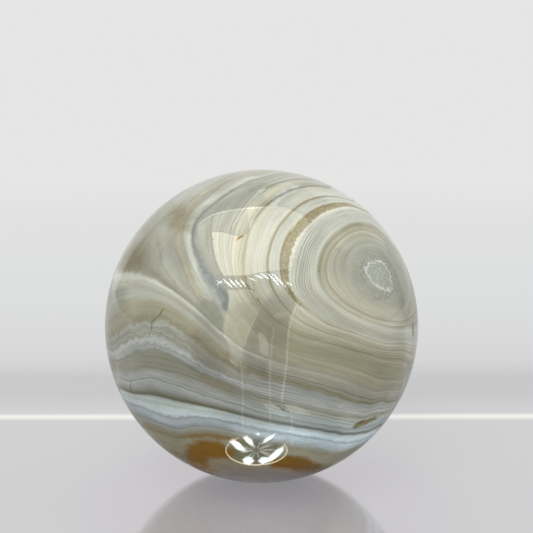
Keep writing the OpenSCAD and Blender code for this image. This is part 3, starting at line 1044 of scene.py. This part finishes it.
def with_crystal(shader, place, colour):
    """The frosty quartz heart of the eye and its broken white rim."""
    ragged = shader.math("SUBTRACT", shader.noise(place, 1.3, 5.0, 0.7), 0.5)
    gap = shader.math("ADD", shader.field("crystal"), shader.math("MULTIPLY", ragged, 2.6))
    grain = shader.noise(place, 2.0, 4.0, 0.75)
    frost = shader.mix(shader.span(grain, 0.3, 0.7), paint(*FROST_DARK), paint(*FROST_LIGHT))
    colour = shader.mix(shader.span(gap, -0.2, 0.25, 0.8, 0.0), colour, frost)
    halo = shader.math("MULTIPLY", shader.span(gap, 0.1, 4.2, 0.6, 0.0), shader.span(grain, 0.46, 0.66))
    halo = shader.math("MULTIPLY", halo, shader.span(gap, -0.1, 0.2))
    colour = shader.mix(halo, colour, paint(*FROST_HALO))
    broken = shader.span(shader.noise(place, 0.8, 3.0, 0.6), 0.32, 0.55, 0.3, 1.0)
    rim = shader.math("MULTIPLY", shader.span(shader.math("ABSOLUTE", gap), 0.05, 0.3, 1.0, 0.0), broken)
    return shader.mix(rim, colour, paint(*FROST_RIM))


CRESCENT_LEVELS = (53.9, 58.2, 0.2)
CRESCENT_FLECK = (122, 108, 76)
CRACK_TONE = (92, 86, 62)
SPECK_TONE = (78, 74, 62)


def stone_colour(shader, place, layer):
    """The bands, fine lines, patches, stains and cracks of the stone, with painted shade and painted light
    where reflections lie.
    """
    colour = scaled(shader, band_colour(shader, layer), band_grain(shader, place, layer))
    speckle = shader.span(shader.noise(place, 2.6, 2.0, 0.6), 0.46, 0.66, 0.0, 0.6)
    in_crescent = window(shader, layer, *CRESCENT_LEVELS)
    in_crescent = shader.math("MULTIPLY", in_crescent, shader.field("crescent"))
    colour = shader.mix(shader.math("MULTIPLY", speckle, in_crescent), colour, paint(*CRESCENT_FLECK))
    colour = with_shades(shader, place, colour)
    colour = with_patches(shader, place, colour, PATCHES)
    colour = with_crystal(shader, place, colour)
    cracks = shader.math("MULTIPLY", crack_marks(shader, place), 0.7)
    colour = shader.mix(cracks, colour, paint(*CRACK_TONE))
    specks = shader.math("MULTIPLY", speck_marks(shader, place), 0.8)
    return shader.mix(specks, colour, paint(*SPECK_TONE))


# Tints of the pit walls, and the painted shade that darkens the deep parts of the pits.
PIT_DARK = (100, 92, 54)
PIT_LIGHT = (170, 160, 112)
PIT_DEEP_SHADE = (84, 73, 38)
STONE_IOR = 1.54
# Roughness of the polish, from its smoothest to its dullest, and inside a pit.
POLISH = (0.02, 0.05)
PIT_ROUGHNESS = 0.7
RELIEF_STRENGTH = 0.07
RELIEF_HEIGHT = 0.1 * MM


def with_pits(shader, place, colour, depth, in_pit):
    """The stained walls of the pits, darker towards their floors as painted shade."""
    tint = shader.mix(shader.noise(place, 2.2, 3.0), paint(*PIT_DARK), paint(*PIT_LIGHT))
    # Painted shade: darker towards the floors of the pits.
    tint = shader.mix(shader.span(depth, 0.3, 0.6), tint, paint(*PIT_DEEP_SHADE))
    colour = shader.mix(in_pit, colour, tint)
    return with_patches(shader, place, colour, PIT_PATCHES)


def polish_relief(shader, place):
    """The slight waviness that the polish leaves."""
    fine = shader.math("MULTIPLY", shader.noise(place, 3.0), 0.01)
    height = shader.math("ADD", shader.noise(place, 0.35, 0.5), fine)
    inputs = {"Strength": RELIEF_STRENGTH, "Distance": RELIEF_HEIGHT, "Height": height}
    return shader.add("Bump", inputs).outputs["Normal"]


def agate_material():
    material = bpy.data.materials.new("banded_agate")
    shader = Shader(material)
    metres = shader.add("TexCoord").outputs["Object"]
    place = shader.add("VectorMath", {0: metres, "Scale": 1.0 / MM}, operation="SCALE").outputs["Vector"]
    colour = stone_colour(shader, place, wavered_layer(shader, place))
    depth = shader.field("depth")
    in_pit = shader.span(depth, 0.015, 0.06)
    colour = with_pits(shader, place, colour, depth, in_pit)
    polish = shader.span(shader.noise(place, 0.5, 3.0), 0.3, 0.7, *POLISH, soft=False)
    roughness = shader.math("MAXIMUM", polish, shader.math("MULTIPLY", in_pit, PIT_ROUGHNESS))
    surface = shader.add("BsdfPrincipled", {
        "Base Color": colour, "Roughness": roughness, "IOR": STONE_IOR,
        "Normal": polish_relief(shader, place),
    })
    output = shader.add("OutputMaterial")
    shader.feed(output.inputs["Surface"], surface.outputs[0])
    return material


# ---------------------------------------------------------------- the room
TABLE_EDGE_Y = 37.2 * MM
LINE_WIDTH = 4.4 * MM
FLOOR_REACH = 3.0
PALE = (0.783, 0.79, 0.78)
ROOM = (0.34, 0.34, 0.33)
TABLE_DARK = (196, 194, 198)
TABLE_LIGHT = (200, 198, 202)
TABLE_SKIN = (250, 246, 250)
TABLE_LINE = (252, 252, 246)
# The ground behind the table: distance in metres and colour.
WALL_COLOURS = (
    (0.037, (216, 216, 218)), (0.047, (212, 212, 214)), (0.056, (206, 206, 208)), (0.072, (205, 205, 207)),
    (0.084, (214, 214, 216)), (0.092, (219, 219, 221)), (0.118, (223, 223, 225)), (0.19, (228, 229, 230)),
    (0.33, (232, 233, 233)),
)
TABLE_MIRROR = 0.43
TABLE_GLOW = 0.9
SHADOW_SHARE = 0.24
# Painted shade in the table's reflections: how much of the table they leave out, near the ball and far from
# it, and where.
NEAR_DIM = 0.74
FAR_DIM = 0.32
DIM_REACH = (36.0 * MM, 80.0 * MM)
# A painted pool of light on the table under the ball, which only reflections see: its strength and reach.
UNDER_GLOW = 0.8
UNDER_REACH = (4.0 * MM, 20.0 * MM)
EDGE_BLUR = 0.2 * MM
SKIN_ROUGHNESS = 0.09
# The mirror-like skin fades out between these distances from its middle.
MIRROR_REACH = (27.0 * MM, 42.0 * MM)
HORIZON_REACH = (0.25, 0.9)
CONTACT = (float(CENTRE[0]), float(CENTRE[1]), FLOOR_Z)
MIRROR_MIDDLE = (float(CENTRE[0]), float(CENTRE[1]) - 12.0 * MM, FLOOR_Z)


def table_colour(shader, metres, away, past):
    """The table, the ground behind it and the bright line at its far edge."""
    near = shader.mix(shader.noise(metres, 14.0, 3.0), paint(*TABLE_DARK), paint(*TABLE_LIGHT))
    colour = shader.mix(past, near, shader.ramp(away, WALL_COLOURS))
    gap = shader.math("ABSOLUTE", shader.math("SUBTRACT", away, TABLE_EDGE_Y))
    return shader.mix(shader.span(gap, 0.0, LINE_WIDTH * 0.8, 1.0, 0.0), colour, paint(*TABLE_LINE))


def table_body(shader, colour, reach):
    """A matt body that keeps the shadow and glows a little to the camera. Reflections see a painted pool of
    light under the ball and painted shade further out.
    """
    body = shader.add("BsdfDiffuse", {"Color": colour})
    glow = shader.add("Emission", {"Color": scaled(shader, colour, TABLE_GLOW), "Strength": 1.0})
    path = shader.add("LightPath").outputs
    lit = shader.math("MULTIPLY", path["Is Camera Ray"], 1.0 - SHADOW_SHARE)
    body = shader.add("MixShader", {0: lit, 1: body.outputs[0], 2: glow.outputs[0]})
    # Reflections see a painted pool of light under the ball and painted shade beyond it.
    under = shader.span(reach, *UNDER_REACH, UNDER_GLOW, 0.0)
    share = shader.span(reach, *DIM_REACH, NEAR_DIM, FAR_DIM)
    dim = shader.math("MULTIPLY", path["Is Glossy Ray"], share)
    shade = shader.add("Emission", {"Color": colour, "Strength": under})
    return shader.add("MixShader", {0: dim, 1: body.outputs[0], 2: shade.outputs[0]})


def table_skin(shader, metres, haze):
    """The mirror-like skin, which turns plain away from the ball."""
    bump = shader.add("Bump", {"Strength": 0.05, "Distance": 0.0002, "Height": shader.noise(metres, 60.0)})
    skin = shader.add("BsdfGlossy", {
        "Color": paint(*TABLE_SKIN), "Roughness": SKIN_ROUGHNESS, "Normal": bump.outputs["Normal"],
    })
    apart = shader.vector("DISTANCE", metres, MIRROR_MIDDLE).outputs["Value"]
    dull = shader.span(apart, *MIRROR_REACH)
    return shader.add("MixShader", {0: dull, 1: skin.outputs[0], 2: haze.outputs[0]})


def floor_material():
    """A pale table with a mirror-like skin, plain beyond its far edge."""
    material = bpy.data.materials.new("pale_table")
    shader = Shader(material)
    metres = shader.add("TexCoord").outputs["Object"]
    away = shader.add("SeparateXYZ", {0: metres}).outputs["Y"]
    past = shader.span(away, TABLE_EDGE_Y - EDGE_BLUR, TABLE_EDGE_Y + EDGE_BLUR)
    reach = shader.vector("DISTANCE", metres, CONTACT).outputs["Value"]
    body = table_body(shader, table_colour(shader, metres, away, past), reach)
    haze = shader.add("Emission", {"Color": PALE + (1.0,), "Strength": 1.0})
    skin = table_skin(shader, metres, haze)
    facing = shader.add("LayerWeight", {"Blend": 0.5}).outputs["Facing"]
    mirror = shader.span(facing, 0.2, 0.75, 0.04, TABLE_MIRROR)
    mirror = shader.math("MULTIPLY", mirror, shader.math("SUBTRACT", 1.0, past))
    table = shader.add("MixShader", {0: mirror, 1: body.outputs[0], 2: skin.outputs[0]})
    far = shader.span(reach, *HORIZON_REACH)
    blend = shader.add("MixShader", {0: far, 1: table.outputs[0], 2: haze.outputs[0]})
    output = shader.add("OutputMaterial")
    shader.feed(output.inputs["Surface"], blend.outputs[0])
    return material


def mesh_object(name, points, faces, material):
    mesh = bpy.data.meshes.new(name)
    mesh.from_pydata([tuple(point) for point in points], [], faces)
    mesh.update()
    made = bpy.data.objects.new(name, mesh)
    bpy.context.scene.collection.objects.link(made)
    mesh.materials.append(material)
    return made


def make_floor():
    half = FLOOR_REACH / 2.0
    corners = [(-half, -half, FLOOR_Z), (half, -half, FLOOR_Z), (half, half, FLOOR_Z), (-half, half, FLOOR_Z)]
    floor = mesh_object("floor", corners, [(0, 1, 2, 3)], floor_material())


BACKDROP_TOWARD = (0.085, 0.996, 0.0)
BACKDROP_EDGE = 0.72


def make_world():
    """Pale all round. Reflections see a dimmer room outside the bright backdrop."""
    world = bpy.data.worlds.new("studio")
    bpy.context.scene.world = world
    shader = Shader(world)
    direction = shader.add("TexCoord").outputs["Generated"]
    toward = shader.vector("DOT_PRODUCT", direction, BACKDROP_TOWARD).outputs["Value"]
    room = shader.span(toward, BACKDROP_EDGE - 0.05, BACKDROP_EDGE + 0.02, 1.0, 0.0)
    glossy = shader.add("LightPath").outputs["Is Glossy Ray"]
    colour = shader.mix(shader.math("MULTIPLY", room, glossy), PALE + (1.0,), ROOM + (1.0,))
    background = shader.add("Background", {"Color": colour, "Strength": 1.0})
    output = shader.add("OutputWorld")
    shader.feed(output.inputs["Surface"], background.outputs[0])


# ---------------------------------------------------------------- lights and reflections
DOME = 0.6
NEAR_DOME = 0.42
RIBBON_STEPS = 49
CARD_LIFT = 0.15 * MM


def mirrored(pixels, reach=DOME):
    """Points that the ball mirrors to these pixels, on a dome round it or just over the floor."""
    line = sight_line(pixels)
    normal = seen(pixels)
    start = CENTRE + normal * RADIUS
    away = line - 2.0 * np.sum(line * normal, axis=1, keepdims=True) * normal
    along = np.sum(away * (start - CENTRE), axis=1, keepdims=True)
    far = np.sqrt(along * along + reach * reach - RADIUS * RADIUS) - along
    fall = np.minimum(away[:, 2:], -1e-6)
    drop = (FLOOR_Z + CARD_LIFT - start[:, 2:]) / fall
    return start + np.minimum(far, drop) * away


def glow_material(name, colour, strength, fade=None):
    """Light that only reflections see, from one side, and that can fade across the card."""
    material = bpy.data.materials.new(name)
    shader = Shader(material)
    level = shader.math("MULTIPLY", shader.span(shader.field("middle"), 0.0, 0.85), strength)
    if fade:
        start, end, share = fade
        start, end = mirrored([start])[0], mirrored([end])[0]
        place = shader.add("TexCoord").outputs["Object"]
        offset = shader.vector("SUBTRACT", place, start).outputs["Vector"]
        along = shader.vector("DOT_PRODUCT", offset, end - start).outputs["Value"]
        length2 = float((end - start) @ (end - start))
        level = shader.span(along, 0.0, length2, strength, strength * share, soft=False)
    glow = shader.add("Emission", {"Color": colour + (1.0,), "Strength": level})
    clear = shader.add("BsdfTransparent")
    both = shader.add("AddShader", {0: glow.outputs[0], 1: clear.outputs[0]})
    behind = shader.add("NewGeometry").outputs["Backfacing"]
    side = shader.add("MixShader", {0: behind, 1: both.outputs[0], 2: clear.outputs[0]})
    output = shader.add("OutputMaterial")
    shader.feed(output.inputs["Surface"], side.outputs[0])
    return material


def reflection_only(card):
    card.visible_camera = False
    card.visible_diffuse = False
    card.visible_transmission = False
    card.visible_volume_scatter = False
    card.visible_shadow = False


# Lit shapes that the polish mirrors: colour, strength, fade and outline in pixels.
CREAM = (1.0, 0.96, 0.76)
WARM = (1.0, 0.98, 0.86)
GLINT = (0.86, 1.0, 0.99)
CARDS = {
    "window": (CREAM, 6.2, ((216, 247), (294, 237), 0.3), (
        (214, 250), (216, 260), (219, 268), (224, 276), (245, 275.5), (265, 271.5), (280, 270), (292, 268),
        (296, 255), (300, 243), (306, 230), (309, 222), (303, 215), (293, 210.5), (285, 207.5),
        (275, 206), (262, 206.5), (248, 207.5), (249, 218), (250, 230), (247, 234), (238, 236), (230, 234),
        (222, 232), (212, 232))),
    "window_side": (WARM, 1.1, None, (
        (198, 226), (199, 240), (204, 256), (210, 275), (222, 275), (218, 268), (215, 258), (213, 244),
        (211, 231), (211, 222), (214, 214), (204, 220))),
    "window_veil": (WARM, 1.6, None, (
        (212, 231), (222, 231), (230, 233), (238, 235), (247, 233), (249.5, 229), (248.5, 218),
        (247.5, 207.5), (235, 210), (225, 211), (215, 214), (211, 222))),
    "low_bright": (WARM, 4.0, ((231, 297), (253, 304), 0.1), (
        (227, 290.5), (229, 300), (228, 309), (236, 313), (246, 310), (256, 306), (262, 298), (266, 291),
        (250, 289.5))),
    "low_panel": (WARM, 2.5, ((228, 330), (252, 330), 0.4), (
        (228, 309), (225, 317), (223.5, 326), (224, 336), (229, 345), (233, 352), (243, 349), (246, 341),
        (250, 330), (254, 321), (259, 311), (256, 306), (246, 310), (236, 313))),
    "low_foot": (WARM, 1.1, None, (
        (229, 345), (230, 356), (231, 362), (236, 366), (241, 362), (243, 349), (233, 352))),
    "mid_panel": (WARM, 1.9, None, (
        (258, 332), (263, 333), (268, 342), (269, 357), (260, 353))),
    "facet_glint": (WARM, 1.2, None, (
        (272, 316.5), (277, 312.5), (285, 312.5), (288, 316), (280, 318.5))),
    "low_step": (WARM, 1.7, None, (
        (263, 404), (270, 403), (276, 405), (283, 411), (289, 416), (281, 416), (270, 412.5))),
    "low_end": (WARM, 1.7, None, (
        (284.5, 403.5), (290, 404), (295, 405.3), (307, 411), (313, 414.5), (300, 414.8), (290, 411.5))),
    "right_panel": (WARM, 2.2, ((294, 309), (297, 342), 0.05), (
        (296, 304), (291, 318), (288.5, 331), (288, 344), (332, 346), (332, 330), (312, 312))),
}


def lit_mesh(name, points, faces, middle, material):
    """A lit shape whose faces look at the ball, with a field that is 1 where it is brightest."""
    points = [Vector(point) for point in points]
    turned_faces = []
    for face in faces:
        a, b, c = (points[index] for index in face[:3])
        toward = (b - a).cross(c - a).dot(Vector(CENTRE) - a)
        turned_faces.append(face if toward > 0.0 else face[::-1])
    made = mesh_object(name, points, turned_faces, material)
    add_field(made.data, "middle", middle)
    reflection_only(made)


def panel(name, points, material):
    """A flat lit shape of one even brightness."""
    faces = [tuple(face) for face in tessellate_polygon([[Vector(point) for point in points]])]
    lit_mesh(name, points, faces, np.ones(len(points)), material)


def petal(name, points, material):
    """A flat lit shape that fades from its middle to its rim."""
    count = len(points)
    faces = [(index, (index + 1) % count, count) for index in range(count)]
    points = np.vstack([points, np.mean(points, axis=0)])
    lit_mesh(name, points, faces, np.append(np.zeros(count), 1.0), material)


def ribbon(name, spine, half, blunt, material):
    """A narrow lit shape along a line of pixels, brightest on that line and tapering to its ends."""
    line = np.array(spine, float)
    share = np.linspace(0.0, 1.0, RIBBON_STEPS)
    steps = np.linspace(0.0, 1.0, len(line))
    middle = np.stack([np.interp(share, steps, axis) for axis in line.T], axis=1)
    along = np.gradient(middle, axis=0)
    side = np.stack([-along[:, 1], along[:, 0]], axis=1)
    taper = np.minimum(1.0, blunt * np.sin(np.pi * (0.04 + 0.92 * share)))
    side *= (half * taper / np.linalg.norm(side, axis=1))[:, None]
    points = mirrored(np.vstack([middle - side, middle, middle + side]), NEAR_DOME)
    faces = [
        (start, start + 1, start + RIBBON_STEPS + 1, start + RIBBON_STEPS)
        for row in (0, RIBBON_STEPS)
        for start in range(row, row + RIBBON_STEPS - 1)
    ]
    bright = np.repeat([0.0, 1.0, 0.0], RIBBON_STEPS)
    lit_mesh(name, points, faces, bright, material)


def make_cards():
    for step, (name, (colour, strength, fade, outline)) in enumerate(CARDS.items()):
        points = mirrored(outline, DOME + 0.002 * step)
        panel("card_" + name, points, glow_material("glow_" + name, colour, strength, fade))
    make_streaks()
    make_strips()
    make_petals()


# Slanted glints under the window: strength, half width in pixels, and the middle line.
STREAKS = (
    (9.0, 0.94, ((216.5, 284.6), (220, 282.5), (224.4, 279.4))),
    (9.0, 0.94, ((216, 280), (219.5, 282), (223.4, 283.4))),
    (16.0, 1.08, ((223.5, 279.4), (228, 283.2), (233, 288))),
    (17.0, 1.08, ((229, 278.8), (233, 283), (237.4, 287.6))),
    (14.0, 0.94, ((234.4, 280), (238, 283.4), (242, 287.6))),
    (17.0, 1.08, ((240, 280), (243, 283), (246, 286.8))),
    (9.0, 1.08, ((248.5, 277.8), (252, 279), (256, 281))),
    (11.0, 1.08, ((255, 275.5), (259, 276.6), (263, 278.4))),
    (14.0, 1.22, ((260, 273.8), (265, 276), (269.4, 279.6))),
    (18.0, 0.94, ((267.5, 273.4), (273.5, 279), (280, 287))),
    (18.0, 0.94, ((272.2, 273.4), (279, 280), (286, 288))),
    (12.0, 1.08, ((285.5, 281.4), (288.8, 283.4), (292.4, 286.2))),
)
STREAK_GAIN = 1.4


def make_streaks():
    """The row of short slanted glints under the window."""
    for index, (strength, half, line) in enumerate(STREAKS):
        glow = glow_material(f"glow_streak_{index}", GLINT, strength * STREAK_GAIN)
        ribbon(f"card_streak_{index}", line, half, 1.0, glow)


# Upright strips of light: strength, half width in pixels, and the middle line.
STRIPS = (
    (1.3, 1.4, ((241, 361), (242, 372), (243, 395), (242.5, 413), (243, 430))),
    (1.5, 0.9, ((270, 287), (262, 302), (257, 314), (251, 326), (247, 336), (245, 346))),
    (1.4, 1.4, ((274, 327), (272, 343), (270.8, 359), (270, 380), (270, 411), (270.5, 425))),
    (2.0, 1.7, (
        (296, 306), (291, 318), (288.5, 331), (287.5, 345), (287, 361), (285, 375), (283, 390), (282, 403))),
    (1.5, 1.4, ((285, 404), (291, 411), (292, 424), (292, 446))),
    (2.4, 1.2, ((229, 358), (233, 363), (238, 367))),
    (4.2, 0.9, ((261.5, 189), (256, 195), (248, 203), (240, 214), (232, 228))),
    (3.2, 0.9, ((265, 188), (259, 195), (251, 203), (244, 213), (237, 222))),
    (5.0, 0.7, ((199, 224), (205, 219), (212, 215), (222, 212), (234, 210), (248, 208.3), (262, 207.6))),
    (3.4, 0.7, ((247.5, 209), (248.5, 218), (250, 226), (250.5, 233))),
)


def make_strips():
    for index, (strength, half, line) in enumerate(STRIPS):
        glow = glow_material(f"glow_strip_{index}", WARM, strength)
        ribbon(f"card_strip_{index}", line, half, 5.0, glow)


# Soft lit shapes that make the flower-like glint: strength and outline in pixels.
PETALS = (
    (34.0, ((227, 440), (232, 437), (240, 442), (249, 451), (247, 454), (236, 450))),
    (28.0, ((241, 436), (246, 434), (253, 439), (256.5, 448), (252, 447), (245, 442))),
    (18.0, ((259, 446), (262, 440), (269, 435), (279, 431), (274, 437.5), (267, 443))),
    (24.0, ((259, 464), (268, 456), (278, 447), (286, 443), (286, 449), (278, 458), (268, 464))),
    (30.0, ((241, 459), (246, 455.5), (252, 456), (256, 461), (250, 466), (243, 464))),
    (20.0, ((256, 461), (261, 456), (269, 456), (271, 461), (262, 466))),
    (9.0, ((253, 434), (258, 431.5), (262, 433), (259, 437))),
)
PETAL_RAYS = 14
# The pale ring: its middle, half width, half height and thickness in pixels, colour and strength.
PETAL_RIM = ((256.5, 450.0), 30.5, 15.0, 0.9)
RING_COLOUR = (1.0, 0.96, 0.72)
RING_STRENGTH = 6.0
RAY_STRENGTH = 4.0


def make_petals():
    """The bright flower-like glint low on the ball, its faint rays and its pale ring."""
    for index, (strength, outline) in enumerate(PETALS):
        petal(f"card_petal_{index}", mirrored(outline), glow_material(f"glow_petal_{index}", GLINT, strength))
    (across, down), wide, high, half = PETAL_RIM

    def rim_point(turn, share=1.0):
        return across + share * wide * math.cos(turn), down + share * high * math.sin(turn)

    ray_glow = glow_material("glow_rays", GLINT, RAY_STRENGTH)
    for index in range(PETAL_RAYS):
        turn = 2.0 * math.pi * (index + 0.3 * math.sin(index * 2.3)) / PETAL_RAYS
        tip = 0.72 + 0.16 * math.sin(index * 1.7)
        ribbon(f"card_ray_{index}", (rim_point(turn, 0.1), rim_point(turn, tip)), 0.9, 1.0, ray_glow)
    ring = [rim_point(turn) for turn in np.linspace(-0.5, 4.1, 40)]
    ribbon("card_ring", ring, half, 5.0, glow_material("glow_ring", RING_COLOUR, RING_STRENGTH))


KEY_SIZE = 0.5
KEY_POWER = 3.4
KEY_COLOUR = (1.0, 0.99, 0.95)
KEY_PLACE = (-0.15, -0.45, 0.65)


def make_key():
    """One soft key light from the front and above."""
    light = bpy.data.lights.new("key", "AREA")
    light.shape = "DISK"
    light.size = KEY_SIZE
    light.energy = KEY_POWER
    light.color = KEY_COLOUR
    key = bpy.data.objects.new("key", light)
    bpy.context.scene.collection.objects.link(key)
    key.location = Vector(KEY_PLACE)
    key.rotation_mode = "QUATERNION"
    key.rotation_quaternion = (-key.location).to_track_quat("-Z", "Y")
    key.visible_glossy = False
    key.visible_camera = False


CLIP_START = 0.01
CLIP_END = 20.0


def make_camera():
    lens = bpy.data.cameras.new("camera")
    lens.sensor_width = SENSOR_MM
    lens.lens = LENS_MM
    lens.clip_start = CLIP_START
    lens.clip_end = CLIP_END
    camera = bpy.data.objects.new("camera", lens)
    bpy.context.scene.collection.objects.link(camera)
    camera.location = Vector(EYE)
    camera.rotation_mode = "QUATERNION"
    camera.rotation_quaternion = Vector(AHEAD).to_track_quat("-Z", "Y")
    bpy.context.scene.camera = camera


bpy.context.scene.view_settings.view_transform = "Standard"
make_camera()
make_ball()
make_floor()
make_world()
make_cards()
make_key()
bpy.context.view_layer.update()
